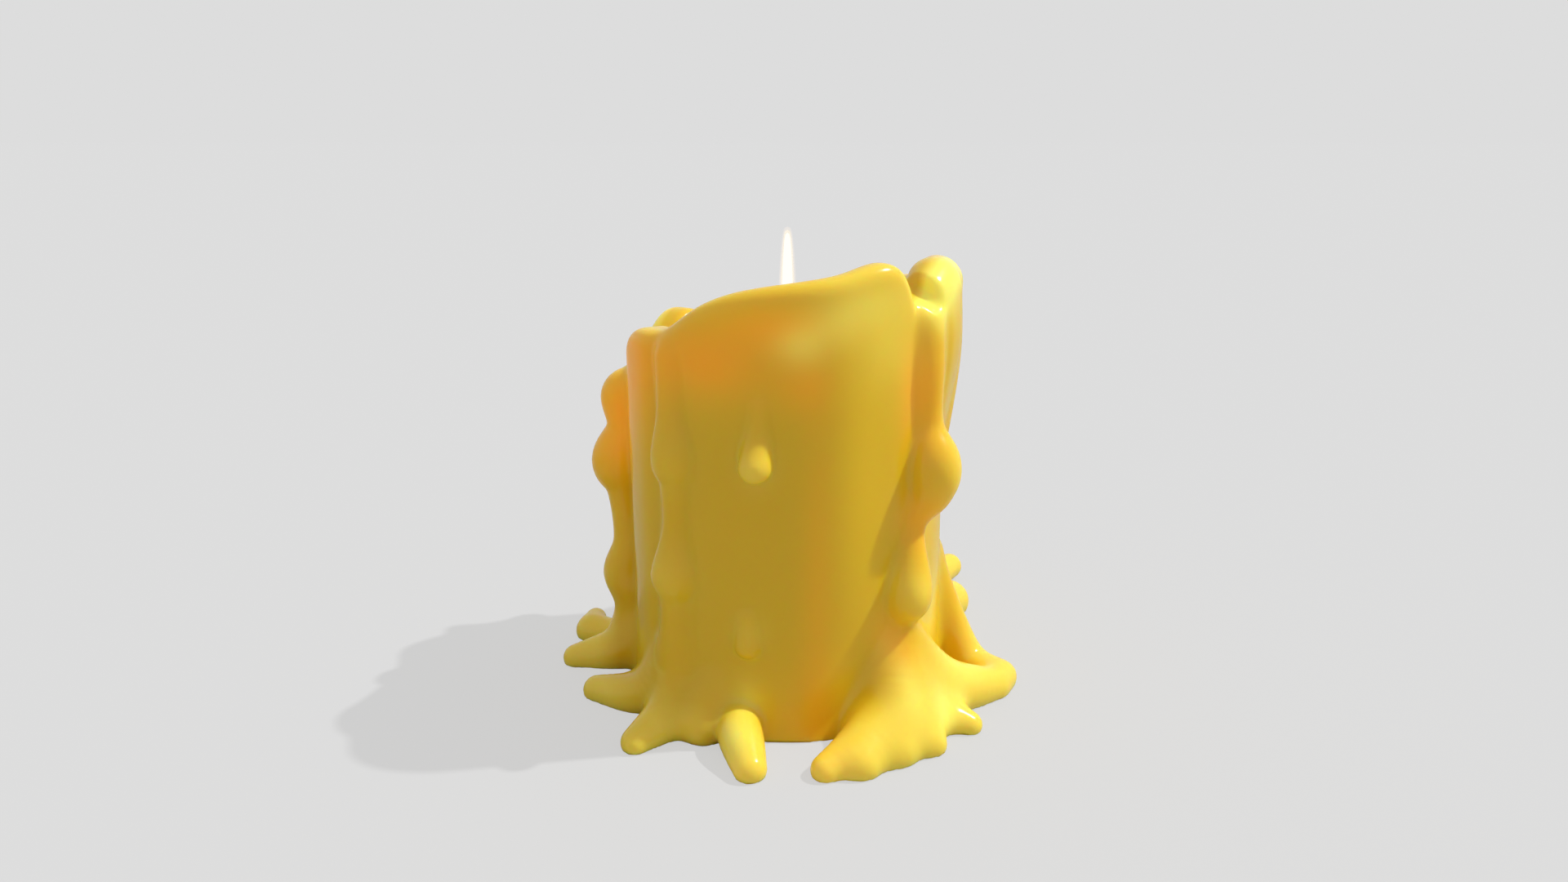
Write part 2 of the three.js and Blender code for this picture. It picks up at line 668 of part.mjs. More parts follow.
const WAX_LOOK = { color: 0xdcae2c, roughness: 0.32, metalness: 0 };
const WICK_LOOK = { color: 0x2a221b, roughness: 0.9, metalness: 0 };
const FLAME_LOOK = { color: 0xfff4d8, emissive: 0xffd890, roughness: 0.5, metalness: 0 };

const candle = new THREE.Group();
candle.add(piece("wax_body", waxBody(), WAX_LOOK));
candle.add(piece("wick", tubeAlong(wickLine(), WICK_RADIUS), WICK_LOOK));
candle.add(piece("flame", flame(), FLAME_LOOK));

export default candle;
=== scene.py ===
"""Looks of a melted pillar candle: golden wax with runs, beads and toes, a charred wick and its flame."""

from __future__ import annotations

import logging
import math
from dataclasses import dataclass
from enum import Enum

import bpy
import numpy as np
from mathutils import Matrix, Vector


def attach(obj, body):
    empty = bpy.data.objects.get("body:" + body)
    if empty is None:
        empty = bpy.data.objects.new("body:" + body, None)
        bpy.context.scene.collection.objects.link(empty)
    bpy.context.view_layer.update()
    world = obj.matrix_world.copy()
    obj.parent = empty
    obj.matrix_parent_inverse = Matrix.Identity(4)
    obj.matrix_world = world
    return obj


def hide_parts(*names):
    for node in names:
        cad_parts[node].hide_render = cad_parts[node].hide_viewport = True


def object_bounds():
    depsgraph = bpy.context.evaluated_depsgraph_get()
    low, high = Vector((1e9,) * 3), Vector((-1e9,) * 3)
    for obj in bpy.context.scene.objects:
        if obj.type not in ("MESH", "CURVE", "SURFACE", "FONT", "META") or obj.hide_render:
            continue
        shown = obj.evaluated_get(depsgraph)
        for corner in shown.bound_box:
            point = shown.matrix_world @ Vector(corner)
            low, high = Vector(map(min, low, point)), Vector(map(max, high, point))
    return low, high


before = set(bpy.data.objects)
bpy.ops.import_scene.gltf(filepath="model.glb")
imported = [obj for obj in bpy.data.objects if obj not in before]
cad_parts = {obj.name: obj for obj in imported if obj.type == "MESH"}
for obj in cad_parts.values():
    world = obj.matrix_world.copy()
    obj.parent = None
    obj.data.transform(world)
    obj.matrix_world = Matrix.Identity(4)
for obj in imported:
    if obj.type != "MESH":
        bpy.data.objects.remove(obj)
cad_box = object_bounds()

Array = np.ndarray
Knot = tuple[float, float, float, float]
MM = 0.001
NOISE_LOW, NOISE_HIGH = 0.3, 0.7

log = logging.getLogger("candle")


class Node(str, Enum):
    """The frame's nodes that the scene's own pieces stand for."""

    WAX = "wax_body"
    WICK = "wick"
    FLAME = "flame"


class Slot(str, Enum):
    """The record's material slots."""

    WAX = "wax"
    COTTON = "wick_cotton"
    FLAME = "flame"


class Mark(str, Enum):
    """Float attributes on the wax that its finish reads; all but the molten pool are painted light and shade.
    """

    # Painted warm glow of light through the wax, and painted orange shade and cast shadows.
    PAINTED_GLOW_AND_SHADOW = "amber"
    # Painted highlights and lit patches, paler and glowing.
    PAINTED_HIGHLIGHT = "glow"
    # Painted highlight lines along creases.
    PAINTED_CREASE_HIGHLIGHT = "crease"
    # Painted light coming through the wax, as a glow.
    PAINTED_THROUGH_LIGHT = "lit"
    MOLTEN = "molten"


def smooth_min(a: Array, b: Array, blend: float) -> Array:
    """The smaller of two distances, rounded by a parabola where they differ by less than blend.

    Args:
        a: First distance.
        b: Second distance.
        blend: Width of the rounding.

    Returns:
        h mixes b towards a, less blend times h(1 - h), with h running from 0 to 1 across the blend.
    """
    h = np.clip(0.5 + 0.5 * (b - a) / blend, 0.0, 1.0)
    return b + (a - b) * h - blend * h * (1.0 - h)


def smooth_max(a: Array, b: Array, blend: float) -> Array:
    """The larger of two distances, rounded in the same way."""
    return -smooth_min(-a, -b, blend)


def turn_between(azimuth: Array, start: float) -> Array:
    """How far each azimuth is from start, the short way round, in degrees."""
    return (azimuth - start + 180.0) % 360.0 - 180.0


def swell(azimuth: Array, at: float, spread: float) -> Array:
    """A bell over azimuth: e to the power of minus half the squared share of the spread."""
    return np.exp(-0.5 * (turn_between(azimuth, at) / spread) ** 2)


def make_object(name: str, points: Array, faces: list, smooth: bool = True) -> bpy.types.Object:
    """Puts points and faces into a new object at the origin.

    Args:
        name: Name of the piece.
        points: Rows of x, y, z in metres.
        faces: Rows of vertex numbers.
        smooth: Whether the faces are shaded smooth.

    Returns:
        The object, linked to the scene.
    """
    mesh = bpy.data.meshes.new(name)
    mesh.from_pydata(points.tolist(), [], faces)
    mesh.update()
    mesh.polygons.foreach_set("use_smooth", np.full(len(mesh.polygons), smooth))
    made = bpy.data.objects.new(name, mesh)
    bpy.context.scene.collection.objects.link(made)
    return made


def circle(sides: int) -> Array:
    """Even points round a level circle of radius 1, as rows of x, y, z."""
    turn = np.linspace(0.0, 2 * np.pi, sides, endpoint=False)
    return np.stack([np.cos(turn), np.sin(turn), np.zeros(sides)], -1)


def grid_faces(rows: int, columns: int, wrap: bool = True) -> Array:
    """Quads of a grid of points, whose columns may close into a ring.

    Args:
        rows: Points along the first parameter.
        columns: Points along the second parameter.
        wrap: Whether the last column joins the first.

    Returns:
        Four vertex numbers a row.
    """
    i = np.arange(rows - 1)[:, None]
    j = np.arange(columns if wrap else columns - 1)[None, :]
    k = (j + 1) % columns
    corners = (i * columns + j, i * columns + k, (i + 1) * columns + k, (i + 1) * columns + j)
    return np.stack([np.broadcast_to(c, (rows - 1, j.size)) for c in corners], -1).reshape(-1, 4)


def end_faces(rings: int, sides: int) -> list:
    """Triangles that close a tube of rings at both ends, whose two end points follow the rings' points.

    Args:
        rings: Rings of the tube.
        sides: Points in a ring.

    Returns:
        Three vertex numbers a row, for the first end and then for the last.
    """
    j = np.arange(sides)
    k = (j + 1) % sides
    last = (rings - 1) * sides
    first_point, last_point = np.full_like(j, rings * sides), np.full_like(j, rings * sides + 1)
    first = np.stack([k, j, first_point], -1)
    return first.tolist() + np.stack([last + j, last + k, last_point], -1).tolist()


class Shader:
    """The node tree of a material or a world, with short ways to add and join nodes."""

    def __init__(self, owner: bpy.types.Material | bpy.types.World) -> None:
        """Empties the tree of a new material or world."""
        owner.use_nodes = True
        self.tree = owner.node_tree
        self.tree.nodes.clear()

    def add(self, kind: str, inputs: dict | None = None, **settings: object) -> bpy.types.Node:
        """Adds a node.

        Args:
            kind: Blender's name of the node type.
            inputs: Socket name or number to a value, or to the output that is linked to it.
            settings: Properties of the node.

        Returns:
            The node.
        """
        made = self.tree.nodes.new(kind)
        for key, value in settings.items():
            setattr(made, key, value)
        for key, value in (inputs or {}).items():
            if isinstance(value, bpy.types.NodeSocket):
                self.tree.links.new(value, made.inputs[key])
            else:
                made.inputs[key].default_value = value
        return made

    def mark(self, name: Mark) -> bpy.types.NodeSocket:
        """The value of one of the piece's own attributes."""
        return self.add("ShaderNodeAttribute", attribute_name=name.value).outputs["Fac"]

    def place(self) -> bpy.types.NodeSocket:
        """Object coordinates, in metres."""
        return self.add("ShaderNodeTexCoord").outputs["Object"]

    def noise(self, scale: float, detail: float) -> bpy.types.NodeSocket:
        """Noise over the object, in cycles a metre, from 0 to 1."""
        inputs = {"Vector": self.place(), "Scale": scale, "Detail": detail}
        return self.add("ShaderNodeTexNoise", inputs).outputs["Fac"]

    def math(self, operation: str, *values: object) -> bpy.types.NodeSocket:
        """One sum on numbers or outputs."""
        return self.add("ShaderNodeMath", dict(enumerate(values)), operation=operation).outputs[0]

    def ramp(self, value: object, low: float, high: float, start: float, end: float) -> bpy.types.NodeSocket:
        """Takes value from the range low to high, with its ends held, to the range start to end."""
        inputs = {"Value": value, "From Min": low, "From Max": high, "To Min": start, "To Max": end}
        return self.add("ShaderNodeMapRange", inputs).outputs["Result"]

    def blend(self, share: object, first: object, second: object) -> bpy.types.NodeSocket:
        """The first colour turning into the second as share goes from 0 to 1."""
        return self.add("ShaderNodeMix", {0: share, 6: first, 7: second}, data_type="RGBA").outputs[2]


def new_material(name: str) -> tuple[bpy.types.Material, Shader]:
    """A new material and its empty tree."""
    made = bpy.data.materials.new(name)
    return made, Shader(made)


@dataclass(frozen=True)
class WaxFinish:
    """Soft golden wax that lets light a few millimetres in, with a waxy gloss and a wet pool, and painted
    glow, shade and highlights.

    Lengths are in metres, scales in cycles a metre.
    """

    honey: tuple[float, float, float, float] = (0.82, 0.55, 0.017, 1.0)
    # Amber tints the random clouding, and is also the colour of the painted warm glow and painted shadows.
    amber: tuple[float, float, float, float] = (0.90, 0.38, 0.010, 1.0)
    # Pale is the colour of the painted highlights.
    pale: tuple[float, float, float, float] = (0.97, 0.84, 0.14, 1.0)
    depth: float = 0.0028
    bleed: tuple[float, float, float] = (1.0, 0.42, 0.16)
    ior: float = 1.45
    mirror: float = 0.38
    gloss: float = 0.22
    smoother: float = 0.02
    rougher: float = 0.03
    worn_scale: float = 90.0
    wet_gloss: float = 0.07
    cloud_scale: float = 38.0
    cloud_share: float = 0.07
    ripple_scale: float = 120.0
    ripple: float = 0.0002
    ripple_strength: float = 0.1
    # Emission strengths of the painted glow from the amber, glow and lit marks.
    painted_warm_glow: float = 0.2
    painted_highlight_glow: float = 0.10
    # Emission of the painted light coming through the wax.
    through: float = 0.12

    def material(self) -> bpy.types.Material:
        """Base colour from a soft clouding and from the marks of painted warm glow and shadow, painted
        highlights and painted crease highlights, a painted glow of its own from the marks of painted glow,
        painted highlights and painted through-light, and a wet gloss from the molten mark."""
        made, s = new_material("golden_wax")
        clouds = s.noise(self.cloud_scale, detail=3.0)
        clouds = s.ramp(clouds, NOISE_LOW, NOISE_HIGH, 0.0, self.cloud_share)
        base = s.blend(clouds, self.honey, self.amber)
        # Painted warm glow and painted shadows turn the colour amber; painted highlights and crease
        # highlights turn it pale.
        base = s.blend(s.mark(Mark.PAINTED_GLOW_AND_SHADOW), base, self.amber)
        light = s.math("ADD", s.mark(Mark.PAINTED_HIGHLIGHT), s.mark(Mark.PAINTED_CREASE_HIGHLIGHT))
        base = s.blend(s.math("MINIMUM", light, 1.0), base, self.pale)
        # A painted glow of its own, as emission, from the painted glow, highlight and through-light marks.
        shine = s.math("MULTIPLY", s.mark(Mark.PAINTED_GLOW_AND_SHADOW), self.painted_warm_glow)
        shine = s.math("ADD", shine, s.math("MULTIPLY", s.mark(Mark.PAINTED_HIGHLIGHT), self.painted_highlight_glow))
        shine = s.math("ADD", shine, s.math("MULTIPLY", s.mark(Mark.PAINTED_THROUGH_LIGHT), self.through))
        worn = s.noise(self.worn_scale, detail=1.0)
        least, most = self.gloss - self.smoother, self.gloss + self.rougher
        worn = s.ramp(worn, NOISE_LOW, NOISE_HIGH, least, most)
        molten = s.mark(Mark.MOLTEN)
        rough = s.math("ADD", worn, s.math("MULTIPLY", molten, self.wet_gloss - self.gloss))
        wave = s.math("MULTIPLY", s.noise(self.ripple_scale, detail=2.0), s.math("SUBTRACT", 1.0, molten))
        wave_bump = {"Height": wave, "Distance": self.ripple, "Strength": self.ripple_strength}
        bump = s.add("ShaderNodeBump", wave_bump)
        skin = s.add(
            "ShaderNodeBsdfPrincipled",
            {
                "Base Color": base,
                "Roughness": rough,
                "IOR": self.ior,
                "Specular IOR Level": self.mirror,
                "Emission Color": base,
                "Emission Strength": shine,
                "Subsurface Weight": 1.0,
                "Subsurface Radius": self.bleed,
                "Subsurface Scale": self.depth,
                "Normal": bump.outputs["Normal"],
            },
        )
        s.add("ShaderNodeOutputMaterial", {"Surface": skin.outputs["BSDF"]})
        return made


@dataclass(frozen=True)
class CottonFinish:
    """Braided cotton: soaked and yellow in the wax, charred black above it, with a dull red tip. Metres."""

    soaked: tuple[float, float, float, float] = (0.42, 0.25, 0.04, 1.0)
    char: tuple[float, float, float, float] = (0.012, 0.010, 0.009, 1.0)
    ember: tuple[float, float, float, float] = (1.0, 0.12, 0.01, 1.0)
    char_start: float = 0.0788
    char_full: float = 0.0812
    ember_start: float = 0.0856
    ember_full: float = 0.0868
    heat: float = 1.4
    rag: float = 0.0006
    rag_scale: float = 900.0
    fibre_scale: float = 2600.0
    fibre_depth: float = 0.00015
    fibre_strength: float = 0.8
    soaked_roughness: float = 0.45
    char_roughness: float = 0.92

    def material(self) -> bpy.types.Material:
        """Char rises with height through a ragged edge of noise, and the ember glows at the tip."""
        made, s = new_material("charred_cotton")
        height = s.add("ShaderNodeSeparateXYZ", {0: s.place()}).outputs["Z"]
        ragged = s.ramp(s.noise(self.rag_scale, detail=3.0), NOISE_LOW, NOISE_HIGH, -self.rag, self.rag)
        ragged = s.math("ADD", height, ragged)
        burnt = s.ramp(ragged, self.char_start, self.char_full, 0.0, 1.0)
        fibres = {"Height": s.noise(self.fibre_scale, detail=2.0), "Distance": self.fibre_depth}
        bump = s.add("ShaderNodeBump", {**fibres, "Strength": self.fibre_strength})
        hot = s.ramp(ragged, self.ember_start, self.ember_full, 0.0, self.heat)
        yarn = s.add(
            "ShaderNodeBsdfPrincipled",
            {
                "Base Color": s.blend(burnt, self.soaked, self.char),
                "Roughness": s.ramp(burnt, 0.0, 1.0, self.soaked_roughness, self.char_roughness),
                "Emission Color": self.ember,
                "Emission Strength": hot,
                "Normal": bump.outputs["Normal"],
            },
        )
        s.add("ShaderNodeOutputMaterial", {"Surface": yarn.outputs["BSDF"]})
        return made


@dataclass(frozen=True)
class FlameFinish:
    """Light of one shell of the flame, clear where it starts and full further up."""

    name: str
    low: tuple[float, float, float, float]
    high: tuple[float, float, float, float]
    strength: float = 1.25
    cover: float = 1.0
    bottom: float = 0.084
    full: float = 0.094
    least_cover: float = 0.25

    def material(self) -> bpy.types.Material:
        """Emission over clear air, whose colour and cover change with height."""
        made, s = new_material(self.name)
        height = s.add("ShaderNodeSeparateXYZ", {0: s.place()}).outputs["Z"]
        share = s.ramp(height, self.bottom, self.full, 0.0, 1.0)
        colour = s.blend(share, self.low, self.high)
        light = s.add("ShaderNodeEmission", {"Color": colour, "Strength": self.strength})
        clear = s.add("ShaderNodeBsdfTransparent")
        cover = s.ramp(share, 0.0, 1.0, self.least_cover * self.cover, self.cover)
        both = s.add("ShaderNodeMixShader", {0: cover, 1: clear.outputs[0], 2: light.outputs[0]})
        s.add("ShaderNodeOutputMaterial", {"Surface": both.outputs[0]})
        return made


@dataclass(frozen=True)
class Strand:
    """A smooth strand of wax along a row of balls, in millimetres."""

    balls: Array
    blend: float

    def distance(self, x: Array, y: Array, z: Array) -> Array:
        """Distance from the nearest point of the middle line, less the radius there.

        Args:
            x: First coordinate.
            y: Second coordinate.
            z: Height.

        Returns:
            The distance, below zero inside the strand.
        """
        nearest = np.inf
        for a, b in zip(self.balls[:-1], self.balls[1:]):
            along = b[:3] - a[:3]
            dx, dy, dz = x - a[0], y - a[1], z - a[2]
            share = (dx * along[0] + dy * along[1] + dz * along[2]) / float(along @ along)
            share = np.clip(share, 0.0, 1.0)
            gap = (dx - share * along[0]) ** 2 + (dy - share * along[1]) ** 2 + (dz - share * along[2]) ** 2
            nearest = np.minimum(nearest, np.sqrt(gap) - (a[3] + (b[3] - a[3]) * share))
        return nearest

    def box(self, margin: float) -> tuple[Array, Array]:
        """The lowest and highest corner of the strand's box, grown by a margin."""
        reach = self.balls[:, 3:] + margin
        return (self.balls[:, :3] - reach).min(0), (self.balls[:, :3] + reach).max(0)


@dataclass(frozen=True)
class Toe:
    """A toe of wax that comes down off the wall and spreads over the floor, in degrees and millimetres.

    It leaves the wall at azimuth root and height lift, meets the floor at foot beyond the wall, where the
    share bend of its turn is done, and ends at azimuth tip and reach beyond the wall. Girth and end are its
    radii on the floor and at the tip, whose middle stands at the share stand of end over the floor.
    """

    root: float
    tip: float
    reach: float
    girth: float
    end: float
    lift: float
    foot: float = 3.0
    bend: float = 0.4
    stand: float = 0.45
    blend: float = 5.0


@dataclass(frozen=True)
class Tint:
    """A soft patch of colour: azimuth and its spread, height and its spread, and strength."""

    azimuth: float
    spread: float
    height: float
    rise: float
    strength: float


RIM = 96.0


@dataclass
class WaxBody:
    """The pillar with its burnt cup, notches, runs, beads and toes, as one skin. Millimetres and degrees.

    Rows hold: in wall_waves count, start, twist and share; in rim_forms azimuth, spread and rise; in
    back_runs azimuth and each bead's height and radius; in back_drops azimuth, height and radius.
    """

    radius: float = 37.5
    wall_ripple: float = 0.35
    wall_waves: tuple = ((3, 40.0, 1.43, 1.0), (5, 0.0, -1.1, 0.7))
    foot_flare: float = 1.3
    foot_flare_height: float = 6.0
    rim_lean: float = 8.4
    rim_high_side: float = -46.0
    rim_ripple: float = 0.5
    rim_ripple_waves: int = 7
    rim_ripple_start: float = 20.0
    rim_rounding: float = 3.6
    rim_slope_step: float = 0.5
    pool_height: float = 78.0
    cup_wall: float = 7.2
    cup_taper: float = 0.1
    cup_wave: float = 0.9
    cup_waves: int = 2
    cup_wave_start: float = 30.0
    pool_fillet: float = 3.0
    lip_rounding: float = 2.6
    sheet_azimuth: float = -152.0
    sheet_half_width: float = 10.0
    sheet_edge: float = 1.6
    sheet_foot: float = 0.9
    sheet_top: float = 1.5
    sheet_full_height: float = 85.0
    bore_radius: float = 1.5
    bore_depth: float = 10.0
    bore_rounding: float = 0.5
    run_blend: float = 2.2
    lobe_blend: float = 2.5
    bead_blend: float = 1.3
    foot_blend: float = 4.0
    pieces: int = 9
    knuckle: float = 0.2
    spout: tuple = ((-37.5, -9, 103.4, 2.6), (-37, 2.5, 98, 2.6))
    spout_blend: float = 1.6
    step: float = 0.8
    spare_cells: int = 3
    box_margin: float = 1.0
    nudge: float = 0.03
    least_slope: float = 0.25
    # Shape of the painted highlight lines along the creases.
    crease_width: float = 0.5
    crease_strength: float = 0.22
    crease_from: float = -95.0
    crease_top: float = 76.0
    crease_fade: float = 6.0
    crease_rise: float = 12.0
    crease_side: float = -130.0
    crease_side_fade: float = 3.0
    crease_drops: tuple = ((-105.0, 3.5, 22.0, 6.0), (-104.0, 4.5, 64.0, 5.0))
    edge_depth: float = 1.6
    # Painted highlight along the rim's thin top edge.
    painted_rim_highlight: float = 0.25
    outside_from: float = 4.0
    outside_fade: float = 3.0
    # Painted light on the toes out on the floor.
    painted_toe_light: float = 0.45
    toe_glow_from: float = 5.0
    toe_glow_reach: float = 6.0
    toe_glow_top: float = 30.0
    toe_glow_fade: float = 12.0
    molten_top: float = 1.2
    molten_band: float = 1.0
    rim_forms: tuple = (
        (178, 20, -9.5),
        (-155, 7, 0.6),
        (-139, 9, -3),
        (149, 10, 4),
        (-82, 11, 0.7),
        (-58, 8, 1.2),
        (-37, 5.6, -12.5),
        (78, 10, -6),
    )
    toes: tuple[Toe, ...] = (
        Toe(178, 180, 20.3, 5, 3.3, 14),
        Toe(168, 164, 21.3, 3.6, 3.2, 10),
        Toe(-138, -160, 15.1, 4.3, 3.4, 16),
        Toe(-131, -130, 18.4, 4.7, 3.4, 20),
        Toe(-116, -120, 3.6, 4.2, 3.6, 12),
        Toe(-108, -99, 17.7, 4.5, 3.7, 4, 5, blend=2.5),
        Toe(-47, -81, 17.4, 5.5, 3.3, 22, 6, 0.33),
        Toe(-49, -72, 18.4, 5.6, 4, 18, 5),
        Toe(-48, -61, 17, 5.6, 3.8, 18, 5),
        Toe(-46, -52, 17.8, 5.4, 3.4, 18, 5),
        Toe(-44, -38, 18.4, 4.6, 3, 16, 5),
        Toe(-42, -17.5, 19, 5.6, 4.3, 20, 5, 0.5),
        Toe(2, -11, 20.6, 3.9, 3.9, 30, 7.5, 0.35),
        Toe(26, 35, 25, 6.4, 5.8, 20),
        Toe(42, 48, 41, 4.4, 3.8, 12, stand=0.95),
        Toe(74, 70, 20.5, 5.6, 3.8, 16),
        Toe(82, 90, 24.5, 5, 3.4, 16),
        Toe(104, 108, 14.5, 4.8, 3.6, 12),
        Toe(126, 122, 22.5, 5.6, 3.6, 16),
        Toe(134, 142, 17.5, 5, 3.6, 16),
    )
    back_runs: tuple = (
        (128, ((60, 5), (30, 4.2))),
        (78, ((66, 5.6), (38, 5.2))),
        (36, ((72, 4.4), (34, 4.8))),
    )
    back_drops: tuple = ((104, 48, 3.4), (152, 44, 3.2), (8, 50, 3.4))
    back_top_drop: float = 2.5
    back_foot: float = 16.0
    film_radius: float = 2.5
    film_beyond: float = 0.5
    bead_beyond: float = 2.4
    bead_neck: float = 2.0
    bead_tail: float = 0.6
    drop_tail: float = 11.0
    drop_tail_beyond: float = -0.9
    drop_tail_share: float = 0.45
    drop_beyond: float = 0.1
    toe_root_beyond: float = -1.0
    toe_root_share: float = 0.55
    toe_middle_height: float = 0.95
    # Painted warm glow under the rim and on the left sheet, a painted orange band where the shade begins, and
    # painted orange cast shadows of the runs and beads.
    painted_glow_and_shadow_tints: tuple[Tint, ...] = (
        Tint(-152, 10, 84, 12, 1.0),
        Tint(-170, 10, 66, 10, 1.0),
        Tint(-118, 16, 86, 6, 0.95),
        Tint(-92, 13, 94, 3.5, 0.7),
        Tint(-84, 7, 82, 5, 0.5),
        Tint(-80, 4, 32, 30, 0.35),
        Tint(-82, 7, 2, 9, 0.35),
        Tint(-102, 2.5, 2, 2, 0.5),
        Tint(-44.5, 5, 79, 9, 0.85),
        Tint(-44, 5, 50, 5, 0.6),
        Tint(-54, 4, 22, 5, 0.6),
    )
    # Painted highlights and lit patches: on the rim, the lobe and notch, the blob at the back, the beads, the
    # toes and the left run.
    painted_highlight_tints: tuple[Tint, ...] = (
        Tint(-86, 6, 90, 3, 0.45),
        Tint(-75, 7, 94, 3.5, 0.3),
        Tint(-66, 11, 99, 4, 0.4),
        Tint(-56, 10, 90, 7, 0.3),
        Tint(-33, 7, 98, 3.5, 0.9),
        Tint(-15, 20, 102, 4, 0.8),
        Tint(149, 18, 92, 8, 1.0),
        Tint(-100.4, 4, 64.6, 3.2, 0.45),
        Tint(-35, 6, 60, 6, 0.3),
        Tint(-49, 3.2, 34.5, 3.5, 0.4),
        Tint(-45, 3, 6, 3, 0.5),
        Tint(-31, 7, 14, 5, 0.4),
        Tint(-22, 5, 25, 6, 0.4),
        Tint(-104, 4, 9, 3.5, 0.5),
        Tint(-55, 3, 15, 5, 0.35),
        Tint(-131, 6, 37, 4.5, 0.2),
        Tint(-131, 6, 63, 4.5, 0.12),
        Tint(-103, 4, 26, 3, 0.15),
    )
    # Painted light coming through the wax: a lit zone on the front right of the wall, lit runs and beads, and
    # lit patches under the rim and on the back blob.
    painted_through_light_tints: tuple[Tint, ...] = (
        Tint(-66, 7, 64, 26, 1.0),
        Tint(-60, 14, 92, 9, 0.6),
        Tint(-33, 5, 58, 16, 0.8),
        Tint(-48, 4, 34, 5, 0.7),
        Tint(-71, 4, 12, 6, 0.6),
        Tint(-25, 9, 16, 6, 0.5),
        Tint(-13, 7, 80, 14, 0.25),
        Tint(178, 8, 34, 10, 0.35),
        Tint(-170, 9, 68, 12, 0.7),
        Tint(-104, 22, 97, 4, 0.5),
        Tint(150, 25, 93, 6, 0.9),
    )

    def runs(self) -> list[tuple[float, list[Knot]]]:
        """Each run on the wall with its blend: the lobe and the fillers under it, the spout's floor, the
        run out of the deep notch, the front left run, the left run, the left toe's hook, and two drops."""
        lobe, run, foot, bead = self.lobe_blend, self.run_blend, self.foot_blend, self.bead_blend
        lip = [(-30.5, -3.4, RIM + 2.2, 3.9), (-22, -3.2, RIM + 4.2, 4.3)]
        lip += [(-11, -3.1, RIM + 4.1, 4.4), (0, -2.9, RIM + 4.2, 4.3)]
        filler = [(-8, -1.1, RIM + 3, 3.9), (-11, -0.3, RIM - 12, 3.1)]
        filler += [(-13, -0.9, RIM - 29, 2.0), (-14, -2.8, RIM - 43, 1.4)]
        deep = [(-30, -3, RIM + 2, 3.8), (-36, -1, RIM - 3.5, 3.9), (-37, 0.2, RIM - 12, 3.6)]
        deep += [(-36.5, 0.7, RIM - 26, 3.3), (-37.5, 3.5, RIM - 34.5, 5.3), (-38, 3.2, RIM - 40.5, 4.4)]
        deep += [(-42.5, 0.5, 47, 2.4), (-47, 2.8, 33, 4.6), (-47.5, 1.1, 28.7, 3.4)]
        front = [(-134, -1, RIM - 10, 3), (-132, 0.2, RIM - 22, 2.6), (-131, 0.5, RIM - 32, 4.4)]
        front += [(-131, 0.2, RIM - 37, 3), (-131, 0.2, 48, 2.6), (-131, 1.1, 37.5, 5.2)]
        left = [(180, -0.6, RIM - 21, 3.4), (178, 2.5, RIM - 25, 4.6), (178, 2.5, RIM - 33, 3.6)]
        left += [(177, 4.7, RIM - 41.8, 5.6), (178, 3.6, 47, 3.2), (178, 2.5, 34, 3.2)]
        left += [(177, 4, 24.6, 4.8), (178, 2.2, 21, 3.7)]
        return [
            (lobe, lip),
            (lobe, filler),
            (foot, [(-19, -1.4, RIM + 2, 4.2), (-20, -0.8, RIM - 12, 3.3), (-21, -3.6, RIM - 35, 1.8)]),
            (foot, [(-28, -1.6, RIM + 0.5, 4), (-28, -1.1, RIM - 12, 3.3), (-28, -3.6, RIM - 35, 1.8)]),
            (lobe, [(-36, -7.5, RIM + 1.5, 3.2), (-36.5, -2, RIM - 2, 3.4)]),
            (run, deep),
            (foot, [(-47, 0.2, 24, 2.6), (-48, 0.5, 17, 3.2)]),
            (run, front),
            (foot, [(-131, 0.8, 34, 3.2), (-133, 0.5, 19, 3)]),
            (run, left),
            (foot, [(178, 2.2, 21, 3.7), (177, 2.8, 11, 4.4)]),
            (run, [(163, 17.6, 2, 2.8), (158.3, 19.4, 2.6, 2.7)]),
            (bead, [(-99.5, -1.9, 77, 2.0), (-100, -1.4, 70, 2.7), (-100.4, 0.8, 64.6, 3.6)]),
            (bead, [(-104, -1.9, 29, 2.6), (-103.8, -1, 22.8, 3.1)]),
        ]

    def on_wall(self, azimuth: float, beyond: float, height: float) -> Array:
        """The point at that azimuth and height, beyond the wall's own radius."""
        angle = math.radians(azimuth)
        reach = self.radius + beyond
        return np.array([reach * math.cos(angle), reach * math.sin(angle), height])

    def bend(self, balls: Array, blend: float) -> Strand:
        """A strand along a smooth curve through balls of wax.

        Between two balls the curve is a cubic whose slope at each ball is half the step between that ball's
        neighbours. The radius follows the same cubic, and is a little larger inside the row than at its ends.

        Args:
            balls: Rows of x, y, z and radius.
            blend: Width of the rounding where the strand melts into the rest.

        Returns:
            The strand.
        """
        balls = balls.copy()
        balls[1:-1, 3] += self.knuckle * blend
        ends = np.vstack([balls[:1], balls, balls[-1:]])
        slope = (ends[2:] - ends[:-2]) / 2
        share = np.linspace(0.0, 1.0, self.pieces + 1)[:, None]
        curve = [balls[:1]]
        for a, b, c, d in zip(balls[:-1], balls[1:], slope[:-1], slope[1:]):
            part = a + share * (c + share * (3 * (b - a) - 2 * c - d + share * (2 * (a - b) + c + d)))
            curve.append(part[1:])
        return Strand(np.vstack(curve), blend)

    def chain(self, knots: list[Knot], blend: float) -> Strand:
        """A strand through knots of azimuth, place beyond the wall, height and radius."""
        return self.bend(np.array([[*self.on_wall(*knot[:3]), knot[3]] for knot in knots]), blend)

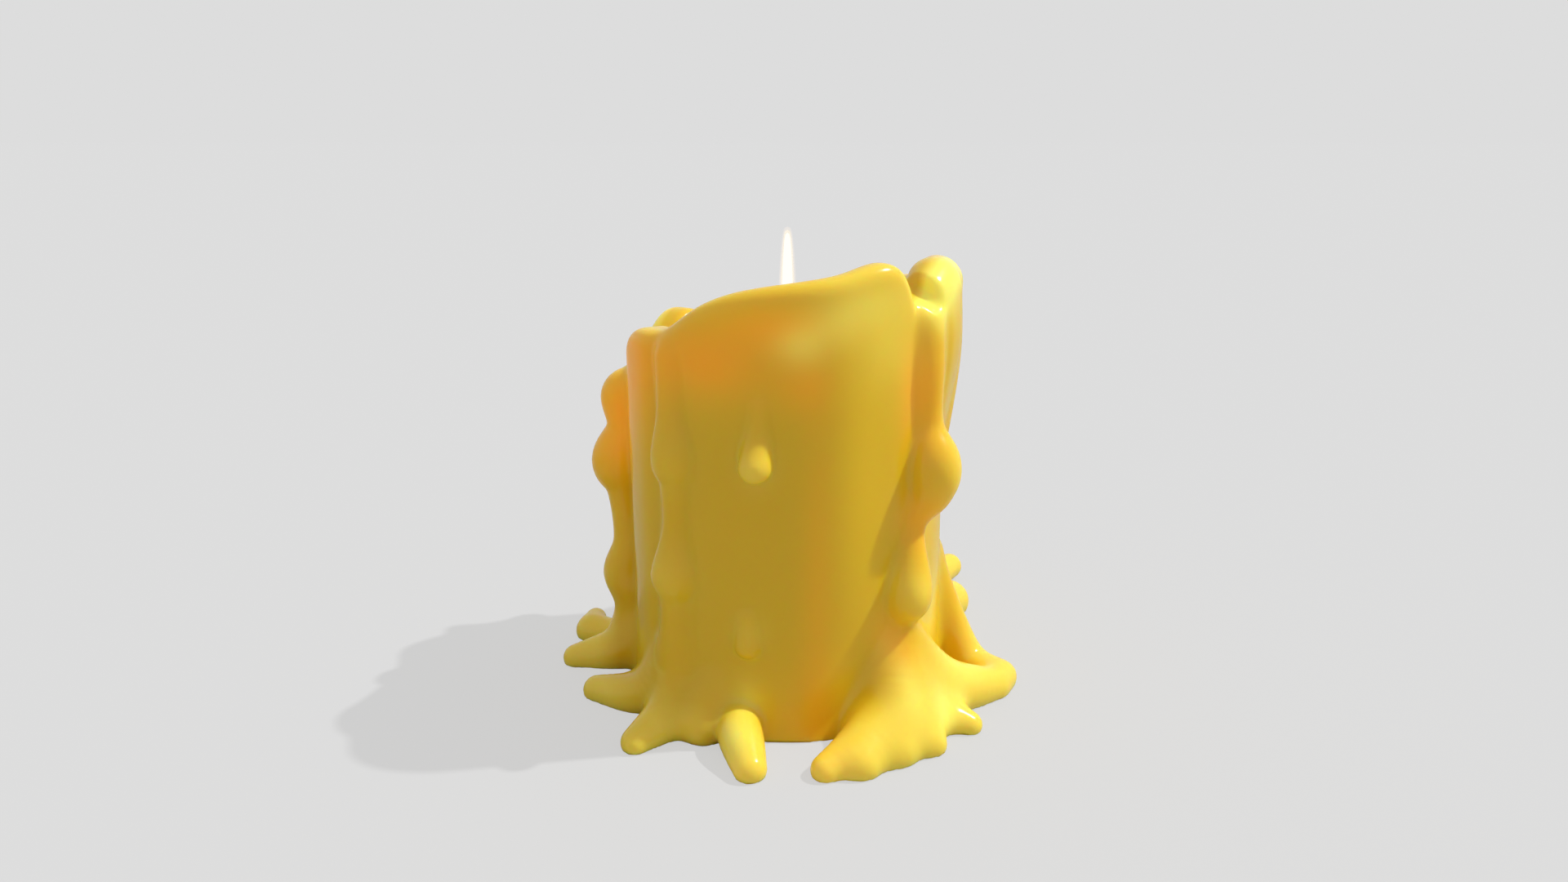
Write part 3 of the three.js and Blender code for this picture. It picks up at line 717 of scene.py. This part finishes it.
    def toe(self, toe: Toe) -> Strand:
        """A strand down off the wall to the floor and out to the round tip."""
        turned = toe.root + toe.bend * (toe.tip - toe.root)
        start = self.on_wall(toe.root, self.toe_root_beyond, toe.lift)
        middle = self.on_wall(turned, toe.foot, self.toe_middle_height * toe.girth)
        last = self.on_wall(toe.tip, toe.reach - toe.end, toe.stand * toe.end)
        balls = [[*start, self.toe_root_share * toe.girth], [*middle, toe.girth], [*last, toe.end]]
        return self.bend(np.array(balls), toe.blend)

    def film(self, azimuth: float, height: float) -> Knot:
        """A knot of the film of wax that a run at the back leaves on the wall."""
        return (azimuth, self.film_beyond, height, self.film_radius)

    def back_strands(self) -> list[Strand]:
        """Films that come down from the rim at the back and swell into beads, and single drops."""
        made: list[Strand] = []
        for azimuth, beads in self.back_runs:
            top = float(self.rim_height(np.array(float(azimuth)))) - self.back_top_drop
            for height, radius in beads:
                film = [self.film(azimuth, top), self.film(azimuth, height + self.bead_neck * radius)]
                made.append(self.chain(film + [(azimuth, self.bead_beyond, height, radius)], self.run_blend))
                top = height - self.bead_tail * radius
            film = [self.film(azimuth, top), self.film(azimuth, self.back_foot)]
            made.append(self.chain(film, self.foot_blend))
        for azimuth, height, radius in self.back_drops:
            tail = (azimuth, self.drop_tail_beyond, height + self.drop_tail, self.drop_tail_share * radius)
            made.append(self.chain([tail, (azimuth, self.drop_beyond, height, radius)], self.bead_blend))
        return made

    def strands(self) -> list[Strand]:
        """Every strand of wax on the pillar, in the order that they melt into it."""
        made = [self.chain(knots, blend) for blend, knots in self.runs()]
        return made + self.back_strands() + [self.toe(toe) for toe in self.toes]

    def rim_height(self, azimuth: Array) -> Array:
        """Height of the rim: a lean as a cosine, bells for swells and notches, and a small ripple."""
        height = RIM + self.rim_lean * np.cos(np.radians(azimuth - self.rim_high_side))
        for at, spread, rise in self.rim_forms:
            height = height + rise * swell(azimuth, at, spread)
        ripple = np.cos(np.radians(self.rim_ripple_waves * azimuth + self.rim_ripple_start))
        return height + self.rim_ripple * ripple

    def wall_radius(self, azimuth: Array, z: Array) -> Array:
        """Radius of the wall: the pillar's, two twisting waves, the frozen sheet and the foot's flare."""
        inside = self.sheet_half_width - np.abs(turn_between(azimuth, self.sheet_azimuth))
        cover = 1.0 / (1.0 + np.exp(-inside / self.sheet_edge))
        up = np.clip(z / self.sheet_full_height, 0.0, 1.0)
        radius = self.radius + cover * (self.sheet_foot + (self.sheet_top - self.sheet_foot) * up)
        for waves, start, twist, share in self.wall_waves:
            wave = np.cos(np.radians(waves * azimuth + start + twist * z))
            radius = radius + self.wall_ripple * share * wave
        return radius + self.foot_flare * np.exp(-z / self.foot_flare_height)

    def cup_radius(self, azimuth: Array, z: Array) -> Array:
        """Radius of the cup: the pillar's less its wall, with a two-sided wave, narrower further down."""
        wave = self.cup_wave * np.cos(np.radians(self.cup_waves * azimuth + self.cup_wave_start))
        return self.radius - self.cup_wall - wave - (RIM - z) * self.cup_taper

    def pillar_distance(self, x: Array, y: Array, z: Array) -> Array:
        """Distance from the pillar: inside the wall and under the rim, less the cup, with rounded edges."""
        azimuth = np.degrees(np.arctan2(y, x))
        reach = np.hypot(x, y)
        rim = self.rim_height(azimuth)
        aside = self.rim_slope_step
        rise = self.rim_height(azimuth + aside) - self.rim_height(azimuth - aside)
        slope = rise / math.radians(2 * aside) / np.maximum(reach, self.radius / 2)
        side = reach - self.wall_radius(azimuth, z)
        top = (z - rim) / np.hypot(1.0, slope)
        cup = smooth_max(reach - self.cup_radius(azimuth, z), self.pool_height - z, self.pool_fillet)
        solid = smooth_max(smooth_max(side, top, self.rim_rounding), -cup, self.lip_rounding)
        bore = np.maximum(reach - self.bore_radius, self.pool_height - self.bore_depth - z)
        return smooth_max(solid, -bore, self.bore_rounding)

    def carve(self, value: Array, x: Array, y: Array, z: Array) -> Array:
        """Takes the shallow channel of the spout, between the rim's shoulder and the lobe, out of the wax."""
        channel = self.chain(list(self.spout), self.spout_blend)
        return smooth_max(value, -channel.distance(x, y, z), self.spout_blend)

    def distance(self, points: Array, strands: list[Strand]) -> Array:
        """Distance of single points from the whole wax body.

        Args:
            points: Rows of x, y, z.
            strands: The strands of wax on the pillar.

        Returns:
            The distances, below zero inside.
        """
        x, y, z = points[:, 0], points[:, 1], np.maximum(points[:, 2], 0.0)
        value = self.pillar_distance(x, y, z)
        for strand in strands:
            low, high = strand.box(strand.blend + self.box_margin)
            near = np.flatnonzero(((points >= low) & (points <= high)).all(1))
            value[near] = smooth_min(value[near], strand.distance(x[near], y[near], z[near]), strand.blend)
        return np.maximum(self.carve(value, x, y, z), -points[:, 2])

    def field(self, strands: list[Strand]) -> tuple[Array, Array]:
        """Distances on an even grid round the candle, each strand worked out only in its own box.

        Args:
            strands: The strands of wax on the pillar.

        Returns:
            The grid of distances and the grid's lowest corner.
        """
        step, spare = self.step, self.spare_cells
        boxes = [strand.box(spare * step) for strand in strands]
        low = np.min([box[0] for box in boxes], axis=0)
        high = np.max([box[1] for box in boxes], axis=0)
        low[2], high[2] = -spare / 2 * step, max(high[2], RIM + self.rim_lean + 2 * spare * step)
        axes = [np.arange(a, b, step) for a, b in zip(low, high)]
        x, y, z = np.meshgrid(*axes, indexing="ij", sparse=True)
        value = self.pillar_distance(x, y, np.maximum(z, 0.0))
        for strand in strands:
            first, last = strand.box(strand.blend + step)
            part = tuple(slice(*np.searchsorted(axis, (a, b))) for axis, a, b in zip(axes, first, last))
            near = strand.distance(x[part[0]], y[:, part[1]], np.maximum(z[:, :, part[2]], 0.0))
            value[part] = smooth_min(value[part], near, strand.blend)
        return np.maximum(self.carve(value, x, y, z), -z), low

    def skin(self, value: Array, low: Array) -> tuple[Array, Array]:
        """Surface of the grid's zero level: one point in each cell that it crosses, at the mean of its edge
        crossings, and one quad round each grid edge that it crosses.

        Args:
            value: Grid of distances.
            low: The grid's lowest corner.

        Returns:
            Points in millimetres and quads that face outwards.
        """
        inside = value < 0
        whole = [slice(None, -1), slice(1, None)]
        corners = [(i, j, k) for i in (0, 1) for j in (0, 1) for k in (0, 1)]
        count = sum(inside[whole[i], whole[j], whole[k]].astype(np.int8) for i, j, k in corners)
        active = (count > 0) & (count < 8)
        cells = np.argwhere(active)
        number = np.full(active.shape, -1, np.int64)
        number[active] = np.arange(len(cells))
        total = np.zeros((len(cells), 3))
        crossings = np.zeros(len(cells))
        quads = []
        units = np.eye(3, dtype=int)
        for axis in range(3):
            along, across, up = units[axis], units[(axis + 1) % 3], units[(axis + 2) % 3]
            for i in (0, 1):
                for j in (0, 1):
                    corner = i * across + j * up
                    a = value[tuple((cells + corner).T)]
                    b = value[tuple((cells + corner + along).T)]
                    crossed = (a < 0) != (b < 0)
                    share = np.where(crossed, a / np.where(crossed, a - b, 1.0), 0.0)
                    total += crossed[:, None] * (corner + share[:, None] * along)
                    crossings += crossed
            start = [slice(1, -1)] * 3
            end = [slice(1, -1)] * 3
            start[axis], end[axis] = slice(None, -1), slice(1, None)
            edges = np.argwhere(inside[tuple(start)] != inside[tuple(end)])
            edges += 1 - along
            ring = (0 * up, -across, -across - up, -up)
            faces = np.stack([number[tuple((edges + turn).T)] for turn in ring], -1)
            out = inside[tuple(edges.T)]
            faces[~out] = faces[~out][:, ::-1]
            quads.append(faces)
        points = low + self.step * (cells + total / crossings[:, None])
        return points, np.vstack(quads)

    def settle(self, points: Array, strands: list[Strand]) -> Array:
        """Moves each point along the steepest way onto the true surface, by distance over slope, twice."""
        for _ in range(2):
            here = self.distance(points, strands)
            aside = [self.distance(points + self.nudge * axis, strands) for axis in np.eye(3)]
            slope = np.stack([(there - here) / self.nudge for there in aside], -1)
            steep = np.maximum((slope**2).sum(1), self.least_slope)
            move = np.clip(here / steep, -self.step / 2, self.step / 2)
            points = points - move[:, None] * slope
        points[:, 2] = np.maximum(points[:, 2], 0.0)
        return points

    def tint(self, azimuth: Array, z: Array, tints: tuple[Tint, ...]) -> Array:
        """Sum of the soft patches: each a bell over azimuth times a bell over height."""
        total = np.zeros_like(z)
        for patch in tints:
            bell = np.exp(-0.5 * ((z - patch.height) / patch.rise) ** 2)
            total += patch.strength * swell(azimuth, patch.azimuth, patch.spread) * bell
        return total

    def painted_crease_highlights(self, points: Array) -> Array:
        """Painted highlight lines where the left runs and the two single drops meet the wall.

        The line is a bell over the difference between the distances of the run and of the pillar, which is
        nothing along the crease itself. It shows only left of one azimuth and round the two drops, and fades
        out towards the floor and the rim.

        Args:
            points: Rows of x, y, z.

        Returns:
            Strength of the line at each point.
        """
        x, y, z = points.T
        wall = self.pillar_distance(x, y, z)
        near = np.full_like(z, np.inf)
        for blend, knots in self.runs():
            if knots[0][0] < self.crease_from:
                near = np.minimum(near, self.chain(knots, blend).distance(x, y, z))
        azimuth = np.degrees(np.arctan2(y, x))
        low = np.clip((self.crease_top - z) / self.crease_fade, 0.0, 1.0)
        low = low * np.clip(z / self.crease_rise, 0.0, 1.0)
        side = np.clip(turn_between(azimuth, self.crease_side) / -self.crease_side_fade, 0.0, 1.0)
        drop = np.zeros_like(z)
        for at, spread, height, rise in self.crease_drops:
            drop += swell(azimuth, at, spread) * np.exp(-(((z - height) / rise) ** 2))
        low = low * np.maximum(side, drop)
        return self.crease_strength * low * np.exp(-0.5 * ((near - wall) / self.crease_width) ** 2)

    def mark(self, piece: bpy.types.Object, points: Array) -> None:
        """Writes the marks that the finish reads: soft patches of painted warm glow and shadow in amber, of
        painted highlights and of painted light that comes through, the painted highlight on the rim's thin
        edge, the painted crease highlights, the painted light on the toes and the molten pool.

        Args:
            piece: The wax.
            points: Its points, as rows of x, y, z in millimetres.
        """
        azimuth = np.degrees(np.arctan2(points[:, 1], points[:, 0]))
        reach = np.hypot(points[:, 0], points[:, 1])
        z = points[:, 2]
        below = np.clip(self.rim_height(azimuth) - z, 0.0, None)
        outer = np.clip((reach - self.radius + self.outside_from) / self.outside_fade, 0.0, 1.0)
        edge = np.exp(-below / self.edge_depth)
        # Painted warm glow and painted cast shadows, kept off the rim's thin edge.
        amber = outer * self.tint(azimuth, z, self.painted_glow_and_shadow_tints) * (1.0 - edge)
        beyond = np.clip((reach - self.radius - self.toe_glow_from) / self.toe_glow_reach, 0.0, 1.0)
        beyond = beyond * np.clip((self.toe_glow_top - z) / self.toe_glow_fade, 0.0, 1.0)
        # Painted highlights: soft patches, the rim's thin edge and the toes.
        glow = outer * (self.tint(azimuth, z, self.painted_highlight_tints) + self.painted_rim_highlight * edge)
        glow = glow + self.painted_toe_light * beyond
        band = self.molten_band
        molten = np.clip((self.pool_height + self.molten_top - z) / band, 0.0, 1.0)
        molten = molten * (z > self.pool_height - band) * (reach < self.cup_radius(azimuth, z) + band)
        # Every mark but the molten pool is painted light or shade.
        marks = {
            Mark.PAINTED_GLOW_AND_SHADOW: amber,
            Mark.PAINTED_HIGHLIGHT: glow,
            Mark.PAINTED_CREASE_HIGHLIGHT: self.painted_crease_highlights(points),
            Mark.PAINTED_THROUGH_LIGHT: outer * self.tint(azimuth, z, self.painted_through_light_tints),
            Mark.MOLTEN: molten,
        }
        for name, value in marks.items():
            layer = piece.data.attributes.new(name.value, "FLOAT", "POINT")
            layer.data.foreach_set("value", np.clip(value, 0.0, 1.0).astype(np.float32))

    def build(self) -> bpy.types.Object:
        """Works out the skin, marks it and dresses it in place of the frame's wax body."""
        strands = self.strands()
        value, low = self.field(strands)
        points, quads = self.skin(value, low)
        points = self.settle(points, strands)
        points = np.clip(points, np.array(cad_box[0]) / MM, np.array(cad_box[1]) / MM)
        piece = make_object("wax_skin", points * MM, quads.tolist())
        self.mark(piece, points)
        piece.data.materials.append(WaxFinish().material())
        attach(piece, "root")
        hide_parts(Node.WAX.value)
        log.info("%s: %d points, %d quads", piece.name, len(points), len(quads))
        return piece


@dataclass
class Wick:
    """A braid of three yarns that stands in the wax and curls over where it burns. Millimetres."""

    base: float = 4.0
    tip_height: float = 86.5
    curl: float = 1.0
    curl_height: float = 4.5
    yarn_radius: float = 0.54
    yarns: int = 3
    swing: float = 0.42
    sway: float = 0.26
    pitch: float = 4.6
    tip_rise: float = 0.2
    fray_share: float = 0.012
    fray_radius: float = 0.15
    twist_depth: float = 0.06
    twists: int = 9
    sides: int = 10
    rings: int = 560

    def line(self, share: Array) -> Array:
        """Middle line at shares of the height: straight up, then a parabola over to the tip.

        Args:
            share: From 0 at the base to 1 at the tip.

        Returns:
            Rows of x, y, z.
        """
        z = self.base + share * (self.tip_height - self.base)
        over = np.clip((z - self.tip_height + self.curl_height) / self.curl_height, 0.0, 1.0)
        return np.stack([self.curl * over**2, np.zeros_like(z), z], -1)

    def yarn(self, number: int) -> tuple[Array, list]:
        """One yarn: a tube round a line that swings once sideways and twice to and fro in each pitch.

        Args:
            number: Which of the yarns.

        Returns:
            Points in millimetres and faces, with both ends closed.
        """
        share = np.linspace(0.0, 1.0, self.rings)
        middle = self.line(share)
        phase = 2 * np.pi * (share * (self.tip_height - self.base) / self.pitch + number / self.yarns)
        middle[:, 0] += self.swing * np.sin(phase)
        middle[:, 1] += self.sway * np.sin(2 * phase)
        middle[:, 2] = np.clip(middle[:, 2], self.base + self.yarn_radius, self.tip_height + self.tip_rise)
        fray = np.clip((1.0 - share) / self.fray_share, 0.0, 1.0) ** 0.5
        fray = self.fray_radius + (1.0 - self.fray_radius) * fray
        radius = self.yarn_radius * fray * (1 + self.twist_depth * np.sin(self.twists * phase))
        points = middle[:, None, :] + radius[:, None, None] * circle(self.sides)
        points = np.vstack([points.reshape(-1, 3), middle[:1], middle[-1:]])
        return points, grid_faces(self.rings, self.sides).tolist() + end_faces(self.rings, self.sides)

    def build(self) -> bpy.types.Object:
        """Joins the yarns into one braid in place of the frame's wick."""
        points = np.empty((0, 3))
        faces: list = []
        for number in range(self.yarns):
            more, sides = self.yarn(number)
            faces += [[corner + len(points) for corner in face] for face in sides]
            points = np.vstack([points, more])
        piece = make_object("wick_braid", points * MM, faces)
        piece.data.materials.append(CottonFinish().material())
        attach(piece, "root")
        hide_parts(Node.WICK.value)
        log.info("%s: %d faces", piece.name, len(faces))
        return piece


@dataclass
class Flame:
    """A still flame as nested shells: a white core inside two thinner veils. Millimetres."""

    bottom: float = 82.0
    length: float = 29.0
    radius: float = 3.2
    widest: float = 7.5
    neck_depth: float = 0.28
    neck_share: float = 0.4
    taper: float = 0.3
    rings: int = 72
    sides: int = 32

    def shell(self, name: str, girth: float, start: float, end: float) -> bpy.types.Object:
        """One closed shell turned round the axis.

        Below its widest height the radius follows a quarter circle. Above it, it falls as a power of the
        share that is left, less a neck that deepens as a parabola, down to a point.

        Args:
            name: Name of the piece.
            girth: Share of the flame's full radius.
            start: Height of its lower end.
            end: Height of its point.

        Returns:
            The shell's object.
        """
        share = np.linspace(0.0, 1.0, self.rings)
        z = start + (end - start) * share
        wide = self.bottom + self.widest
        low = np.clip((wide - z) / (wide - start), 0.0, 1.0)
        high = np.clip((z - wide) / (end - wide), 0.0, 1.0)
        above = np.clip(high / self.neck_share, 0.0, 1.0)
        neck = 1.0 - self.neck_depth * above * (2.0 - above)
        radius = np.where(z < wide, np.sqrt(np.maximum(1.0 - low**2, 0.0)), neck * (1.0 - high) ** self.taper)
        radius = self.radius * girth * radius
        middle = np.stack([0 * z, 0 * z, z], -1)
        points = middle[1:-1, None, :] + radius[1:-1, None, None] * circle(self.sides)
        points = np.vstack([points.reshape(-1, 3), middle[:1], middle[-1:]])
        faces = grid_faces(self.rings - 2, self.sides).tolist() + end_faces(self.rings - 2, self.sides)
        return make_object(name, points * MM, faces)

    def build(self) -> list[bpy.types.Object]:
        """Makes the core and its two veils in place of the frame's flame."""
        tip = self.bottom + self.length
        core = self.shell("flame_core", girth=0.62, start=self.bottom + 3.0, end=tip - 1.4)
        veil = self.shell("flame_veil", girth=0.82, start=self.bottom + 1.4, end=tip - 0.7)
        edge = self.shell("flame_edge", girth=1.0, start=self.bottom, end=tip)
        white = FlameFinish("flame_white", (1.0, 0.62, 0.22, 1.0), (1.0, 0.97, 0.90, 1.0))
        violet, straw = (0.45, 0.5, 1.0, 1.0), (1.0, 0.90, 0.70, 1.0)
        gold = FlameFinish("flame_gold", violet, straw, strength=1.1, cover=0.35)
        blue, cream = (0.25, 0.4, 1.0, 1.0), (1.0, 0.90, 0.80, 1.0)
        haze = FlameFinish("flame_haze", blue, cream, strength=1.0, cover=0.20, bottom=0.083, full=0.096)
        for piece, finish in ((core, white), (veil, gold), (edge, haze)):
            piece.data.materials.append(finish.material())
            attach(piece, "root")
            log.info("%s: %d faces", piece.name, len(piece.data.polygons))
        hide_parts(Node.FLAME.value)
        return [core, veil, edge]


@dataclass
class Studio:
    """Plain pale floor and background, one soft key from the right and even light all round. Metres."""

    grey: float = 0.723
    key_azimuth: float = 9.0
    key_elevation: float = 51.0
    key_strength: float = 2.7
    key_softness: float = 1.2
    fill: float = 0.5
    bounce: float = 0.45
    shadow_share: float = 0.33
    glow: float = 1.14
    floor_half: float = 20.0
    camera_place: tuple[float, float, float] = (-0.0008, -0.2494, 0.1311)
    camera_pitch: float = 16.0
    view_height: float = 45.0

    def floor(self) -> None:
        """A flat floor of the background's grey, whose shadow the camera sees at part strength."""
        h = self.floor_half
        corners = np.array([[-h, -h, 0.0], [h, -h, 0.0], [h, h, 0.0], [-h, h, 0.0]])
        plane = make_object("floor", corners, [[0, 1, 2, 3]], smooth=False)
        made, s = new_material("pale_floor")
        grey = (self.grey, self.grey, self.grey, 1.0)
        dull = (self.bounce, self.bounce, self.bounce, 1.0)
        matt = s.add("ShaderNodeBsdfDiffuse", {"Color": dull})
        light = s.add("ShaderNodeEmission", {"Color": grey, "Strength": self.glow})
        seen = s.add("ShaderNodeLightPath").outputs["Is Camera Ray"]
        share = s.math("MULTIPLY", seen, 1.0 - self.shadow_share)
        both = s.add("ShaderNodeMixShader", {0: share, 1: matt.outputs[0], 2: light.outputs[0]})
        s.add("ShaderNodeOutputMaterial", {"Surface": both.outputs[0]})
        plane.data.materials.append(made)

    def world(self) -> None:
        """Even light from all round, which the camera and reflections see as the background's grey."""
        world = bpy.data.worlds.new("studio")
        bpy.context.scene.world = world
        s = Shader(world)
        path = s.add("ShaderNodeLightPath").outputs
        seen = s.math("MAXIMUM", path["Is Glossy Ray"], path["Is Transmission Ray"])
        seen = s.math("MAXIMUM", path["Is Camera Ray"], seen)
        fill = s.add("ShaderNodeBackground", {"Color": (1.0, 1.0, 1.0, 1.0), "Strength": self.fill})
        back = s.add("ShaderNodeBackground", {"Color": (self.grey, self.grey, self.grey, 1.0)})
        both = s.add("ShaderNodeMixShader", {0: seen, 1: fill.outputs[0], 2: back.outputs[0]})
        s.add("ShaderNodeOutputWorld", {"Surface": both.outputs[0]})

    def key(self) -> None:
        """One sun with a soft edge, from the right and a little behind the candle."""
        lamp = bpy.data.lights.new("key", "SUN")
        lamp.energy = self.key_strength
        lamp.angle = math.radians(self.key_softness)
        azimuth, elevation = math.radians(self.key_azimuth), math.radians(self.key_elevation)
        level = math.cos(elevation)
        towards = Vector((level * math.cos(azimuth), level * math.sin(azimuth), math.sin(elevation)))
        made = bpy.data.objects.new("key", lamp)
        made.location = towards
        made.rotation_euler = towards.to_track_quat("Z", "Y").to_euler()
        bpy.context.scene.collection.objects.link(made)

    def camera(self) -> None:
        """The photograph's view: from in front and a little above the rim, looking down at the wall."""
        lens = bpy.data.cameras.new("camera")
        lens.sensor_fit = "VERTICAL"
        lens.angle_y = math.radians(self.view_height)
        lens.clip_start = 0.01
        lens.clip_end = 200.0
        made = bpy.data.objects.new("camera", lens)
        made.location = self.camera_place
        made.rotation_euler = (math.radians(90.0 - self.camera_pitch), 0.0, 0.0)
        bpy.context.scene.collection.objects.link(made)
        bpy.context.scene.camera = made

    def build(self) -> None:
        """Sets up floor, background, light and camera."""
        self.floor()
        self.world()
        self.key()
        self.camera()
        bpy.context.scene.view_settings.view_transform = "Standard"


def main() -> None:
    """Builds the candle's pieces in order, then the studio round them."""
    logging.basicConfig(level=logging.INFO, format="%(message)s")
    WaxBody().build()
    Wick().build()
    Flame().build()
    Studio().build()


if __name__ == "__main__":
    main()
